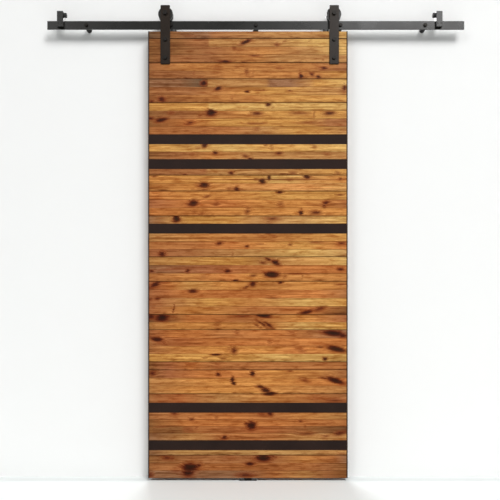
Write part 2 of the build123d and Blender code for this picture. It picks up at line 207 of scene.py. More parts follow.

# Boards from the top down. height is what shows, in mm. Each strip is a list of (cm from the left
# edge, tone), and its end tones run on to the door's edges. Each knot is (cm from the left, mm below
# the board's top, half width, half height, tilt in degrees, depth of colour).
# Many strips darken towards the door's left and lighten towards its right: partly the wood's own tone, partly
# painted shade and painted light.
boards = [
    {
        "height": 35.0,
        "strips": [
            # the smoke and umber at this strip's left end are painted shade under the left hanger
            [(0, "smoke"), (12, "umber"), (28, "mauve"), (31, "clay"), (60, "tan"), (80, "tan"),
             (95, "straw")],
        ],
        "knots": [(20, 22, 22, 4, 0, 0.3)],
    },
    {
        "height": 116.0,
        "strips": [
            [(14, "umber"), (22, "clay"), (28.8, "clay"), (29.2, "tan"), (60, "tan"), (80, "straw")],
            [(14, "umber"), (30, "clay"), (55, "amber"), (75, "tan"), (95, "straw")],
            [(0, "umber"), (15, "clay"), (30, "clay"), (50, "amber"), (62, "tan")],
        ],
        "knots": [
            (46.5, 17, 27, 8, 22, 0.85), (61.5, 28, 10, 8, 25, 0.55), (64.5, 15, 12, 4, 35, 0.35),
            (77, 12, 8, 5, 30, 0.25), (41, 45, 9, 8, 0, 0.45), (51, 82, 30, 5, 4, 0.55),
            (36.7, 109, 24, 5, 0, 0.8), (45.3, 114, 8, 3, 0, 0.7), (83.5, 102, 5, 10, 0, 0.25),
        ],
    },
    {
        "height": 77.0,
        "strips": [
            [(0, "clay"), (20, "amber"), (75, "amber"), (95, "clay")],
            [(20, "clay"), (40, "amber"), (80, "amber"), (95, "honey")],
        ],
        "knots": [
            (32.5, 25, 18, 8, 0, 0.3), (21.5, 18, 14, 9, 0, 0.25), (47, 43, 9, 14, 10, 0.5),
            (62.5, 24, 14, 8, 0, 0.3), (84, 25, 16, 7, 8, 0.75), (73, 63, 9, 8, 0, 0.95),
            (72.5, 48, 4, 10, 0, 0.5), (78.2, 56, 10, 8, -15, 0.6), (81.2, 66, 11, 6, 0, 0.85),
            (22, 50, 4, 16, 0, 0.25), (50, 48, 6, 14, 0, 0.25), (25.5, 68, 14, 6, 0, 0.3),
        ],
    },
    {
        "height": 114.0,
        "strips": [
            [(15, "mauve"), (25, "smoke"), (28.2, "umber"), (28.6, "tan"), (56, "tan"), (58.5, "mauve"),
             (68, "mauve"), (77, "tan"), (80, "honey"), (95, "straw")],
            [(20, "clay"), (40, "amber"), (60, "honey"), (95, "tan")],
            [(0, "clay"), (35, "amber"), (50, "amber"), (65, "honey")],
        ],
        "knots": [
            (26.5, 20, 13, 10, 0, 0.9), (33.5, 45, 15, 9, 15, 0.85), (47.3, 60, 10, 5, 0, 0.85),
            (53.5, 54, 22, 3, 0, 0.5), (67.8, 55, 9, 4, 0, 0.6), (93.5, 42, 9, 14, 0, 0.7),
            (6.8, 96, 14, 13, 0, 0.75), (40.2, 95, 4, 14, 0, 0.3), (1.5, 108, 12, 7, 0, 0.6),
            (53, 96, 20, 5, 0, 0.25),
        ],
    },
    {
        "height": 150.0,
        "strips": [
            [(28.6, "honey"), (29.2, "straw")],
            [(0, "umber"), (15, "clay"), (40, "amber"), (60, "honey")],
            [(0, "umber"), (20, "copper"), (35, "honey"), (75, "honey"), (86, "clay")],
            [(40, "russet"), (55, "tan"), (70, "honey"), (80, "honey"), (95, "tan")],
        ],
        "knots": [
            (57.3, 8, 12, 9, 0, 0.75), (59.5, 22, 8, 9, -30, 0.35), (30, 47, 20, 14, 0, 1.0),
            (25, 60, 12, 6, 30, 0.4), (52, 52, 28, 9, 0, 0.65), (72.5, 49, 45, 8, 0, 0.5),
            (86.5, 50, 30, 9, 0, 0.7), (79.2, 55, 4, 16, 0, 0.45), (11, 48, 12, 8, 0, 0.5),
            (6.2, 82, 26, 9, 12, 0.9), (1.5, 74, 12, 8, 0, 0.7), (20, 95, 20, 10, 12, 0.6),
            (51, 98, 45, 5, 0, 0.5), (76.5, 94, 50, 6, 0, 0.5), (52, 128, 14, 10, 0, 0.3),
            (27, 136, 18, 9, 0, 0.3),
        ],
    },
    {
        "height": 71.5,
        "strips": [
            [(0, "honey"), (40, "straw"), (60, "honey"), (95, "straw")],
            [(0, "umber"), (15, "clay"), (30, "amber"), (50, "tan")],
        ],
        "knots": [
            (26.7, 6, 12, 11, 0, 0.85), (24, 18, 12, 7, 0, 0.35), (56, 6, 9, 6, 0, 0.3),
            (59, 16, 9, 10, 0, 0.35), (79.3, 12, 9, 7, 0, 0.4), (32, 42, 13, 8, 0, 0.7),
            (62.5, 42, 13, 7, 0, 0.65), (46.5, 58, 14, 8, -15, 0.6), (48.5, 68, 12, 4, 0, 0.8),
            (85.5, 46, 16, 8, 0, 0.35), (21, 46, 10, 8, 0, 0.35),
        ],
    },
    {
        "height": 30.0,
        "strips": [[(27, "clay"), (29, "tan"), (60, "tan"), (95, "honey")]],
        "knots": [
            (39.7, 19, 11, 8, 0, 0.75), (17.6, 29, 10, 5, 0, 0.8), (69.3, 20, 16, 9, 0, 0.45),
            (90.5, 20, 12, 9, 0, 0.45), (27, 8, 14, 8, 0, 0.3),
        ],
    },
    {
        "height": 76.0,
        "strips": [
            [(0, "ginger"), (50, "honey"), (60, "straw"), (75, "wheat"), (95, "ginger")],
            [(0, "amber"), (20, "ginger"), (45, "apricot"), (75, "apricot"), (95, "wheat")],
        ],
        "knots": [
            (57.7, 11, 7, 11, 0, 0.9), (54.5, 28, 14, 11, 15, 0.95), (51.5, 20, 10, 5, 0, 0.5),
            (76, 8, 14, 9, 0, 0.85), (68, 21, 12, 6, 0, 0.5), (91.5, 18, 9, 5, 0, 0.6),
            (62, 20, 330, 2.2, 0, 0.6), (26.8, 47, 24, 12, 0, 0.85), (27, 66, 14, 10, 0, 0.4),
            (42.2, 66, 13, 10, 0, 0.75), (39, 60, 10, 6, 0, 0.4), (3, 6, 12, 5, 0, 0.5),
        ],
    },
    {
        "height": 119.0,
        "strips": [
            [(0, "copper"), (20, "ginger"), (40, "ginger"), (60, "honey")],
            [(0, "brick"), (20, "copper"), (40, "copper"), (55, "ginger"), (75, "ginger"), (95, "russet")],
            [(0, "copper"), (45, "ginger")],
        ],
        "knots": [
            (63, 6, 14, 6, 0, 0.75), (91.5, 17, 16, 4, 0, 0.6), (28, 25, 18, 6, 15, 0.5),
            (21.5, 57, 23, 15, 15, 0.85), (32.5, 60, 14, 11, 0, 0.5), (63.3, 62, 14, 12, 0, 0.45),
            (84.8, 55, 18, 8, 15, 0.7), (84, 70, 9, 8, 0, 0.6), (47.3, 94, 12, 16, -10, 0.55),
            (73, 103, 9, 9, 0, 1.0), (73, 86, 4, 8, 0, 0.5), (80, 102, 26, 9, -4, 0.65),
            (22.3, 98, 12, 12, 0, 0.3), (25.5, 108, 12, 8, 0, 0.4),
        ],
    },
    {
        "height": 36.0,
        "strips": [
            [(0, "mauve"), (10, "tan"), (20, "honey"), (40, "honey"), (50, "tan"), (75, "oat"),
             (95, "straw")],
        ],
        "knots": [(13.4, 12, 15, 15, 0, 1.0), (59.5, 12, 36, 12, 0, 0.55), (57.5, 28, 14, 8, 0, 0.4)],
    },
    {
        "height": 112.0,
        "strips": [
            [(0, "tan"), (25, "amber"), (60, "amber"), (95, "honey")],
            [(20, "russet"), (40, "copper"), (75, "honey"), (95, "copper")],
            [(0, "brick"), (20, "clay"), (45, "tan"), (75, "straw"), (95, "oat")],
        ],
        "knots": [
            (54.5, 10, 14, 8, 0, 0.3), (60, 15, 10, 14, 0, 0.25), (34, 47, 16, 9, 15, 0.65),
            (47.3, 60, 10, 6, 0, 0.75), (53.5, 51, 18, 3, 0, 0.45), (67.8, 53, 9, 5, 0, 0.55),
            (80, 42, 34, 6, 0, 0.5), (92.5, 46, 20, 8, 0, 0.6), (6.8, 98, 15, 13, 0, 0.75),
            (40.2, 98, 4, 12, 0, 0.3), (54, 82, 24, 4, 0, 0.25),
        ],
    },
    {
        "height": 117.0,
        "strips": [
            [(0, "tan"), (30, "honey"), (45, "honey"), (55, "tan"), (80, "wheat"), (95, "straw")],
            [(0, "mauve"), (30, "brick"), (60, "copper")],
            [(0, "russet"), (20, "amber"), (40, "copper"), (50, "ginger"), (70, "amber")],
        ],
        "knots": [
            (57.5, 11, 16, 6, -20, 0.75), (61, 26, 22, 10, -25, 0.85), (54.8, 28, 16, 7, 0, 0.55),
            (1.7, 68, 14, 6, 0, 0.7), (19, 66, 10, 9, 0, 0.75), (38, 67, 14, 8, 0, 0.8),
            (91.7, 58, 17, 7, 0, 0.75), (14, 57, 90, 4, 3, 0.4), (59, 84, 30, 13, -4, 1.0),
            (71, 80, 60, 4, 0, 0.5), (65, 92, 8, 12, 0, 0.4), (73.5, 90, 4, 12, 0, 0.35),
            (50, 88, 16, 7, 10, 0.6), (26.5, 95, 18, 10, 0, 0.3), (41.8, 113, 14, 6, 0, 0.8),
        ],
    },
    {
        "height": 158.0,
        "strips": [
            [(0, "brick"), (10, "copper"), (20, "wheat"), (40, "ginger"), (60, "amber"), (80, "ginger"),
             (95, "amber")],
            [(0, "brick"), (20, "copper"), (80, "copper"), (95, "clay")],
            [(0, "brick"), (15, "nut"), (30, "honey"), (50, "amber"), (75, "straw"), (95, "honey")],
            [(0, "brick"), (20, "ginger"), (35, "amber"), (50, "russet"), (75, "copper"), (95, "umber")],
        ],
        "knots": [
            (3.5, 14, 26, 10, 25, 0.8), (6, 4, 30, 5, 0, 0.5), (50, 12, 16, 13, 20, 0.75),
            (47, 26, 18, 6, 25, 0.6), (63, 5, 12, 6, 0, 0.8), (92, 14, 20, 4, 0, 0.5),
            (21.5, 46, 24, 10, 0, 0.75), (4.3, 82, 12, 6, 0, 0.65), (1, 86, 8, 6, 0, 0.6),
            (59.5, 78, 36, 8, -4, 0.4), (12.3, 132, 4, 18, -8, 0.6), (76, 145, 28, 9, 15, 0.8),
            (82, 130, 26, 10, 15, 0.65), (35, 60, 60, 5, 0, 0.25),
        ],
    },
    {
        "height": 73.0,
        "strips": [
            [(0, "bark"), (10, "umber"), (20, "copper"), (30, "copper"), (45, "russet"), (75, "ginger"),
             (95, "brick")],
            [(0, "nut"), (15, "ginger"), (60, "amber"), (75, "straw"), (95, "honey")],
        ],
        "knots": [
            (6.6, 15, 28, 15, 6, 1.0), (1.5, 10, 18, 10, 0, 0.8), (12, 10, 12, 8, 0, 0.4),
            (55, 4, 30, 9, -6, 1.0), (45, 8, 40, 7, 0, 0.55), (52, 28, 12, 6, -40, 0.5),
            (54.5, 44, 30, 6, -35, 0.65), (57.5, 50, 30, 7, -35, 0.7), (52, 52, 18, 5, -35, 0.5),
            (33, 50, 12, 16, -30, 0.35), (33, 68, 10, 5, 0, 0.5),
        ],
    },
    {
        "height": 153.0,
        "strips": [
            [(0, "brick"), (12, "copper"), (25, "copper"), (35, "russet"), (60, "copper"), (75, "russet"),
             (95, "mauve")],
            [(0, "clay"), (15, "rust"), (30, "copper")],
            [(0, "clay"), (12, "amber"), (30, "ginger"), (55, "ginger"), (70, "copper"), (95, "ginger")],
            [(45, "honey"), (60, "straw")],
        ],
        "knots": [
            (88.5, 16, 45, 12, -8, 0.95), (93, 28, 20, 8, 0, 0.8), (42.5, 10, 10, 12, -20, 0.35),
            (69, 14, 14, 8, -30, 0.35), (4.3, 45, 25, 10, -10, 0.9), (7.5, 62, 12, 8, -30, 0.5),
            (58, 60, 8, 14, 0, 0.3), (41, 98, 14, 17, 0, 0.65), (38.5, 90, 14, 8, 0, 0.35),
            (90, 92, 42, 12, -12, 0.95), (82, 82, 16, 5, 0, 0.6), (73, 97, 22, 10, -25, 0.4),
            (32.5, 118, 22, 5, 0, 0.8), (35.5, 136, 22, 8, 25, 0.4), (84.4, 138, 10, 8, 0, 0.8),
            (27, 134, 10, 5, 0, 0.3),
        ],
    },
    {
        "height": 38.5,
        "strips": [[(0, "umber"), (10, "brick"), (20, "copper"), (30, "russet")]],
        "knots": [(20, 10, 20, 5, 0, 0.3), (33, 18, 18, 12, 0, 0.35), (84, 8, 12, 6, 30, 0.25)],
    },
    {
        "height": 114.0,
        "strips": [
            [(0, "umber"), (10, "brick"), (25, "copper"), (40, "copper"), (60, "ginger"), (80, "amber"),
             (95, "clay")],
            [(0, "nut"), (30, "ginger"), (60, "ginger"), (95, "copper")],
            [(0, "nut"), (20, "ginger"), (50, "ginger"), (95, "nut")],
        ],
        "knots": [
            (2.2, 15, 15, 12, 0, 0.7), (33.3, 21, 10, 8, 0, 0.75), (49.8, 17, 10, 10, 0, 0.95),
            (67.8, 5, 12, 5, 0, 0.5), (40.2, 45, 8, 12, -10, 0.85), (40.8, 62, 9, 8, 0, 0.95),
            (75, 50, 24, 9, -25, 0.5), (84, 38, 20, 6, -10, 0.6), (89.5, 50, 40, 11, -18, 0.95),
            (54, 80, 22, 8, -10, 0.75), (56, 96, 20, 11, -25, 0.85), (58.7, 112, 24, 7, 0, 1.0),
        ],
    },
    {
        "height": 42.0,
        "strips": [[(0, "clay"), (15, "rust"), (35, "tan"), (60, "amber"), (80, "russet"), (95, "clay")]],
        "knots": [(58, 2, 26, 5, 0, 0.9), (80, 20, 22, 10, 0, 0.35), (89, 30, 40, 9, 0, 0.55)],
    },
    {
        "height": 132.0,
        "strips": [
            [(0, "clay"), (40, "copper"), (60, "russet"), (75, "amber"), (95, "tan")],
            [(0, "umber"), (20, "copper"), (60, "copper"), (95, "russet")],
            [(15, "umber"), (25, "russet"), (55, "rust"), (80, "umber"), (95, "bark")],
            [(0, "mauve"), (20, "tan"), (35, "russet"), (60, "russet"), (75, "tan")],
        ],
        "knots": [
            (12.4, 4, 14, 7, 0, 0.6), (20.8, 32, 12, 8, 0, 0.6), (54.5, 8, 16, 9, 0, 0.5),
            (58.3, 6, 14, 9, -20, 0.75), (49.2, 62, 18, 19, 0, 0.95), (47, 52, 10, 8, 0, 0.6),
            (73, 41, 9, 5, 0, 0.6), (75, 68, 5, 8, 0, 0.4), (6, 68, 26, 4, 0, 0.4),
            (19.5, 80, 22, 12, 0, 0.4), (23, 74, 8, 8, 0, 0.4), (36.5, 118, 14, 8, 10, 0.85),
            (75.5, 102, 40, 7, 0, 0.55), (91.5, 100, 28, 10, 10, 0.65), (84.5, 112, 18, 8, 0, 0.5),
            (32.5, 30, 8, 12, 0, 0.3),
        ],
    },
    {
        "height": 25.0,
        "strips": [[(0, "mauve"), (15, "oat"), (78, "oat"), (83, "tan")]],
        "knots": [(92, 20, 14, 8, 0, 0.4)],
    },
    {
        "height": 109.6,
        "strips": [
            [(0, "umber"), (30, "clay"), (60, "clay"), (75, "amber"), (88, "russet"), (95, "mauve")],
            [(0, "clay"), (30, "russet"), (75, "russet"), (85, "clay"), (95, "umber")],
            [(45, "mauve"), (60, "russet"), (75, "tan"), (85, "clay"), (95, "umber")],
        ],
        "knots": [
            (55, 13, 32, 15, 0, 1.0), (60, 6, 14, 6, -20, 0.55), (9, 12, 24, 10, 0, 0.6),
            (11.5, 14, 6, 8, 0, 0.5), (39, 8, 24, 8, 0, 0.35), (48.5, 41, 22, 9, 0, 0.8),
            (20, 57, 34, 17, 0, 1.0), (24, 48, 16, 9, 20, 0.7), (19, 84, 28, 16, 0, 0.85),
            (46.5, 94, 36, 11, 0, 0.6), (1, 92, 14, 14, 0, 0.6), (13.5, 74, 20, 8, 0, 0.4),
        ],
    },
]
sectionEnds = (5, 6, 10, 18, 19)  # the boards after which a band comes
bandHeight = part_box("band_1")[1].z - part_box("band_1")[0].z
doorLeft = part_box("edge_bar_left")[0].x
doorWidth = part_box("edge_bar_right")[1].x - doorLeft


# a noise drawn out along the grain
def grain(tree, where, pattern, output="Fac"):
    width, length = pattern["width"] * mm, pattern["length"] * mm
    scales = (1 / length, 1 / (wood["patternDepth"] * width), 1 / width)
    stretched = addNode(tree, "Mapping", {"Scale": scales}, {"Vector": where}).outputs[0]
    settings = {
        "Scale": 1.0,
        "Detail": pattern["detail"],
        "Roughness": wood["patternRoughness"],
        "Distortion": pattern["distortion"],
    }
    return addNode(tree, "TexNoise", settings, {"Vector": stretched}).outputs[output]


# How deep in a knot a point lies, up to the knot's own depth at its heart. Knots are soft ellipses,
# drawn out along the grain in ragged tails.
def depthInKnots(tree, place, grainPlace, board, top):
    tails = grain(tree, grainPlace, wood["tails"], "Color")
    centred = addNode(
        tree, "VectorMath", {"operation": "SUBTRACT", 1: (0.5, 0.5, 0.5)}, {0: tails}
    ).outputs[0]
    ragged = addNode(
        tree,
        "VectorMath",
        {"operation": "MULTIPLY_ADD", 1: (2 * wood["tailReach"] * mm, 0.0, 2 * wood["tailDrift"] * mm)},
        {0: centred, 2: place},
    ).outputs[0]
    deepest = None
    for across, down, halfWidth, halfHeight, tilt, depth in board["knots"]:
        ellipse = addNode(
            tree,
            "Mapping",
            {
                "vector_type": "TEXTURE",
                "Location": (doorLeft + across * cm, 0, top - down * mm),
                "Rotation": (0, -math.radians(tilt), 0),
                "Scale": (halfWidth * mm, wood["knotThrough"], halfHeight * mm),
            },
            {"Vector": ragged},
        ).outputs[0]
        reach = addNode(tree, "VectorMath", {"operation": "LENGTH"}, {0: ellipse}).outputs["Value"]
        spot = addNode(
            tree,
            "MapRange",
            {
                "interpolation_type": "SMOOTHSTEP",
                "From Min": wood["knotEdge"],
                "From Max": wood["knotHeart"],
                "To Max": depth,
            },
            {"Value": reach},
        ).outputs[0]
        if deepest is None:
            deepest = spot
            continue
        deepest = addNode(tree, "Math", {"operation": "MAXIMUM"}, {0: deepest, 1: spot}).outputs[0]
    return deepest


# the tones along each strip of a board; where they darken towards the door's left and lighten towards its
# right, they carry painted shade and painted light as well as the wood's own tone
def stripTones(tree, board, x, stripNumber):
    along = addNode(
        tree, "MapRange", {"From Min": doorLeft, "From Max": doorLeft + doorWidth}, {"Value": x}
    ).outputs[0]
    color = None
    for index, tones in enumerate(board["strips"]):
        ramp = addNode(tree, "ValToRGB", None, {0: along})
        stops = [(across * cm / doorWidth, linearColor(woodTones[tone])) for across, tone in tones]
        fillRamp(ramp.color_ramp, stops)
        if color is None:
            color = ramp.outputs[0]
            continue
        later = addNode(
            tree, "Math", {"operation": "GREATER_THAN", 1: index - 0.5}, {0: stripNumber}
        ).outputs[0]
        color = addNode(
            tree, "Mix", {"data_type": "RGBA"}, {0: later, 6: color, 7: ramp.outputs[0]}
        ).outputs[2]
    return color


# a pattern's tint over a colour
def tinted(tree, color, noise, pattern):
    low, high = pattern["range"]
    share = addNode(tree, "MapRange", {"From Min": low, "From Max": high}, {"Value": noise}).outputs[0]
    first, second = pattern["tints"]
    tint = addNode(
        tree, "Mix", {"data_type": "RGBA", 6: (*first, 1.0), 7: (*second, 1.0)}, {0: share}
    ).outputs[2]
    return addNode(
        tree, "Mix", {"data_type": "RGBA", "blend_type": "MULTIPLY", 0: 1.0}, {6: color, 7: tint}
    ).outputs[2]


# the knots over a colour, ringed, and streaked by the growth lines
def knotted(tree, color, depth, lines):
    turns = addNode(
        tree, "Math", {"operation": "MULTIPLY", 1: 2 * math.pi * wood["knotRings"]}, {0: depth}
    ).outputs[0]
    rings = addNode(tree, "Math", {"operation": "SINE"}, {0: turns}).outputs[0]
    ringShade = addNode(
        tree, "MapRange", dict(zip(fromTo, (-1.0, 1.0, *wood["ringShade"]))), {"Value": rings}
    ).outputs[0]
    streaky = addNode(
        tree, "MapRange", dict(zip(fromTo, (*noiseRange, *wood["knotStreaks"]))), {"Value": lines}
    ).outputs[0]
    depth = addNode(tree, "Math", {"operation": "MULTIPLY"}, {0: depth, 1: streaky}).outputs[0]
    ramp = addNode(tree, "ValToRGB", None, {0: depth})
    fillRamp(ramp.color_ramp, [(stop, linearColor(hexCode)) for stop, hexCode in wood["knotColors"]])
    knotColor = addNode(
        tree, "HueSaturation", None, {"Value": ringShade, "Color": ramp.outputs[0]}
    ).outputs[0]
    cover = addNode(
        tree, "MapRange", dict(zip(fromTo, (*wood["knotFade"], *wood["knotCover"]))), {"Value": depth}
    ).outputs[0]
    return addNode(tree, "Mix", {"data_type": "RGBA"}, {0: cover, 6: color, 7: knotColor}).outputs[2]


# shade at the line between two strips, and painted shade in the open seams, spreading beyond them in patches
def seamShade(tree, number, stripPlace, pitch, z, blotches):
    fromStrip = addNode(tree, "Math", {"operation": "PINGPONG", 1: 0.5}, {0: stripPlace}).outputs[0]
    shade = addNode(
        tree,
        "MapRange",
        {"From Max": wood["stripSeam"] * mm / pitch, "To Min": wood["stripSeamShade"], "To Max": 0.0},
        {"Value": fromStrip},
    ).outputs[0]

    # the painted shade of an open seam is measured from the middle of the board to its real edges
    low, high = (corner.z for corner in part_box(f"board_{number:02d}"))
    if number == 1:
        high += wood["patchyShadeReach"] * mm  # the door's own top and bottom edges have no seam
    if number == len(boards):
        low -= wood["patchyShadeReach"] * mm
    edge = (high - low) / 2
    fromMiddle = addNode(tree, "Math", {"operation": "SUBTRACT", 1: (low + high) / 2}, {0: z}).outputs[0]
    fromMiddle = addNode(tree, "Math", {"operation": "ABSOLUTE"}, {0: fromMiddle}).outputs[0]
    patches = addNode(
        tree, "MapRange", dict(zip(fromTo, (*wood["patchRange"], *wood["patchShade"]))), {"Value": blotches}
    ).outputs[0]
    for reach, deepest, patchy in (
        (wood["openSeam"], wood["openSeamShade"], False),
        (wood["patchyShadeReach"], wood["patchyShadeDepth"], True),
    ):
        near = addNode(
            tree,
            "MapRange",
            {
                "interpolation_type": "SMOOTHSTEP",
                "From Min": edge - reach * mm,
                "From Max": edge,
                "To Max": deepest,
            },
            {"Value": fromMiddle},
        ).outputs[0]
        if patchy:
            near = addNode(tree, "Math", {"operation": "MULTIPLY"}, {0: near, 1: patches}).outputs[0]
        shade = addNode(tree, "Math", {"operation": "MAXIMUM"}, {0: shade, 1: near}).outputs[0]
    return shade


# stained and oiled softwood: satin, with growth lines along the strip and dark knots that draw the eye
def boardMaterial(number, board, top):
    material, tree, shader = newMaterial(f"stained softwood {number:02d}")
    pitch = board["height"] * mm / len(board["strips"])
    place = addNode(tree, "TexCoord").outputs["Object"]
    axes = addNode(tree, "SeparateXYZ", None, {0: place}).outputs

    # strips counted down from the board's top, with the patterns moved on from strip to strip
    stripPlace = addNode(
        tree, "Math", {"operation": "MULTIPLY_ADD", 1: -1 / pitch, 2: top / pitch}, {0: axes["Z"]}
    ).outputs[0]
    stripNumber = addNode(tree, "Math", {"operation": "FLOOR"}, {0: stripPlace}).outputs[0]
    shift = addNode(
        tree,
        "Math",
        {"operation": "MULTIPLY_ADD", 1: wood["stripShift"], 2: number * wood["boardShift"]},
        {0: stripNumber},
    ).outputs[0]
    shifted = addNode(tree, "CombineXYZ", None, {"X": shift, "Z": shift}).outputs[0]
    grainPlace = addNode(tree, "VectorMath", {"operation": "ADD"}, {0: place, 1: shifted}).outputs[0]

    # growth lines, streaks and pores bend round the knots
    knotDepth = depthInKnots(tree, place, grainPlace, board, top)
    bend = addNode(tree, "CombineXYZ", None, {"Z": knotDepth}).outputs[0]
    bentPlace = addNode(
        tree,
        "VectorMath",
        {"operation": "MULTIPLY_ADD", 1: (0.0, 0.0, wood["knotBend"] * mm)},
        {0: bend, 2: grainPlace},
    ).outputs[0]
    noises = {name: grain(tree, bentPlace, wood[name]) for name in ("streaks", "lines", "pores")}
    noises["blotches"] = grain(tree, grainPlace, wood["blotches"])

    color = stripTones(tree, board, axes["X"], stripNumber)
    for name, noise in noises.items():
        color = tinted(tree, color, noise, wood[name])
    color = knotted(tree, color, knotDepth, noises["lines"])
    shade = seamShade(tree, number, stripPlace, pitch, axes["Z"], noises["blotches"])
    # the strip lines and the painted shade of the open seams, in one dark brown
    color = addNode(
        tree, "Mix", {"data_type": "RGBA", 7: linearColor(wood["paintedSeamShadeColor"])}, {0: shade, 6: color}
    ).outputs[2]
    tree.links.new(color, shader.inputs["Base Color"])

    # growth lines and pores stand out a little
    ends = [wood["roughness"] + change for change in wood["roughnessSpread"]]
    roughness = addNode(
        tree, "MapRange", dict(zip(fromTo, (*noiseRange, *ends))), {"Value": noises["lines"]}
    ).outputs[0]
    tree.links.new(roughness, shader.inputs["Roughness"])
    relief = addNode(
        tree,
        "Math",
        {"operation": "MULTIPLY_ADD", 1: wood["poreRelief"]},
        {0: noises["pores"], 2: noises["lines"]},
    ).outputs[0]
    bump = addNode(
        tree,
        "Bump",
        {"Strength": wood["relief"], "Distance": wood["reliefHeight"] * mm},
        {"Height": relief},
    ).outputs[0]
    tree.links.new(bump, shader.inputs["Normal"])
    shader.inputs["IOR"].default_value = wood["ior"]
    shader.inputs["Specular IOR Level"].default_value = wood["specular"]
    return material


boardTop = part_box("board_01")[1].z
for number, board in enumerate(boards, 1):
    useMaterial(nodes[f"board_{number:02d}"], boardMaterial(number, board, boardTop))
    boardTop -= board["height"] * mm
    if number in sectionEnds:
        boardTop -= bandHeight
print("stage: boards done")

# powder-coated steel: a fine orange peel over a flat dark colour, which breaks up the reflections
powderCoat = {
    "rail": {"color": "#0E0D0A", "roughness": 0.28, "peel": 1.6, "relief": 0.3, "specular": 0.23},
    "spacer": {"color": "#0B0A08", "roughness": 0.5, "peel": 1.6, "relief": 0.3, "specular": 0.06},
    "strap": {"color": "#20170F", "roughness": 0.36, "peel": 1.6, "relief": 0.35, "specular": 0.13},
    "band": {"color": "#271B17", "roughness": 0.66, "peel": 1.0, "relief": 0.2, "specular": 0.09},
    "edge": {"color": "#2A1B12", "roughness": 0.62, "peel": 1.0, "relief": 0.2, "specular": 0.16},
    "wheel": {"color": "#141310", "roughness": 0.36, "peel": 1.0, "relief": 0.15, "specular": 0.3},
}

# what handling leaves on every coat: faint clouds and small scuffs
coatUse = {
    "cloudSize": 111.1,     # mm
    "cloudDetail": 4.0,
    "cloudShade": (0.8, 1.2),
    "cloudRoughness": (-0.05, 0.06),
    "scuffSize": 7.14,      # mm
    "scuffDetail": 6.0,
    "scuffRange": (0.56, 0.74),
    "scuffShare": (0.0, 0.45),
    "scuffColor": "#2B2824",
    "peelDetail": 2.0,
    "peelHeight": 0.2,      # mm
}

# Bare steel, rubbed bright where the wheels run. A pair is half a width and how softly it ends, in mm.
wornSteel = {
    "color": "#8D8A84",
    "roughness": 0.3,
    "railEdge": (0.5, 0.2),
    "railLine": (1.7, 0.5),
    "railEnds": 30.0,        # mm over which the line fades
    "railScratch": (60.0, 0.6, 1000.0),  # mm along each axis
    "treadRadius": 28.0,     # mm
    "groove": (3.2, 0.6),
    "grooveFloor": (1.2, 0.4),
    "grooveScratch": (9.0, 0.7, 9.0),
    "scratchDetail": 4.0,
    "scratchRange": (0.35, 0.6),
}


def powderCoatMaterial(name, settings, wear=None):
    material, tree, shader = newMaterial(name)
    place = addNode(tree, "TexCoord").outputs["Object"]
    peel, cloud, scuff = (
        addNode(
            tree, "TexNoise", {"Scale": 1 / (size * mm), "Detail": detail}, {"Vector": place}
        ).outputs["Fac"]
        for size, detail in (
            (settings["peel"], coatUse["peelDetail"]),
            (coatUse["cloudSize"], coatUse["cloudDetail"]),
            (coatUse["scuffSize"], coatUse["scuffDetail"]),
        )
    )
    share = dict(zip(fromTo, (*coatUse["scuffRange"], *coatUse["scuffShare"])))
    scuffed = addNode(tree, "MapRange", share, {"Value": scuff}).outputs[0]
    roughnesses = [settings["roughness"] + change for change in coatUse["cloudRoughness"]]
    value, roughness = (
        addNode(tree, "MapRange", dict(zip(fromTo, (*noiseRange, *ends))), {"Value": cloud}).outputs[0]
        for ends in (coatUse["cloudShade"], roughnesses)
    )
    color = addNode(
        tree,
        "Mix",
        {"data_type": "RGBA", 6: linearColor(settings["color"]), 7: linearColor(coatUse["scuffColor"])},
        {0: scuffed},
    ).outputs[2]
    color = addNode(tree, "HueSaturation", None, {"Value": value, "Color": color}).outputs[0]
    if wear:
        worn = wear(tree, place)
        color = addNode(
            tree, "Mix", {"data_type": "RGBA", 7: linearColor(wornSteel["color"])}, {0: worn, 6: color}
        ).outputs[2]
        roughness = addNode(tree, "Mix", {3: wornSteel["roughness"]}, {0: worn, 2: roughness}).outputs[0]
        tree.links.new(worn, shader.inputs["Metallic"])
    tree.links.new(color, shader.inputs["Base Color"])
    tree.links.new(roughness, shader.inputs["Roughness"])
    shader.inputs["Specular IOR Level"].default_value = settings["specular"]
    bump = addNode(
        tree,
        "Bump",
        {"Strength": settings["relief"], "Distance": coatUse["peelHeight"] * mm},
        {"Height": peel},
    ).outputs[0]
    tree.links.new(bump, shader.inputs["Normal"])
    return material


# 1 where a value lies within reach of the middle, 0 outside, with soft ends: reach and soft in mm
def within(tree, value, middle, reach, soft):
    apart = addNode(tree, "Math", {"operation": "SUBTRACT", 1: middle}, {0: value}).outputs[0]
    apart = addNode(tree, "Math", {"operation": "ABSOLUTE"}, {0: apart}).outputs[0]
    return addNode(
        tree,
        "MapRange",
        {"From Min": (reach + soft) * mm, "From Max": (reach - soft) * mm},
        {"Value": apart},
    ).outputs[0]


def allOf(tree, masks):
    product = masks[0]
    for mask in masks[1:]:
        product = addNode(tree, "Math", {"operation": "MULTIPLY"}, {0: product, 1: mask}).outputs[0]
    return product


# scratches that break up a worn place, of a size along each axis in mm
def scratches(tree, place, sizes):
    scales = [1 / (size * mm) for size in sizes]
    stretched = addNode(tree, "Mapping", {"Scale": scales}, {"Vector": place}).outputs[0]
    noise = addNode(
        tree, "TexNoise", {"Scale": 1.0, "Detail": wornSteel["scratchDetail"]}, {"Vector": stretched}
    ).outputs["Fac"]
    low, high = wornSteel["scratchRange"]
    return addNode(tree, "MapRange", {"From Min": low, "From Max": high}, {"Value": noise}).outputs[0]


slideRange = next(joint["range_m"] for joint in frame["joints"] if joint["name"] == "door_slide")


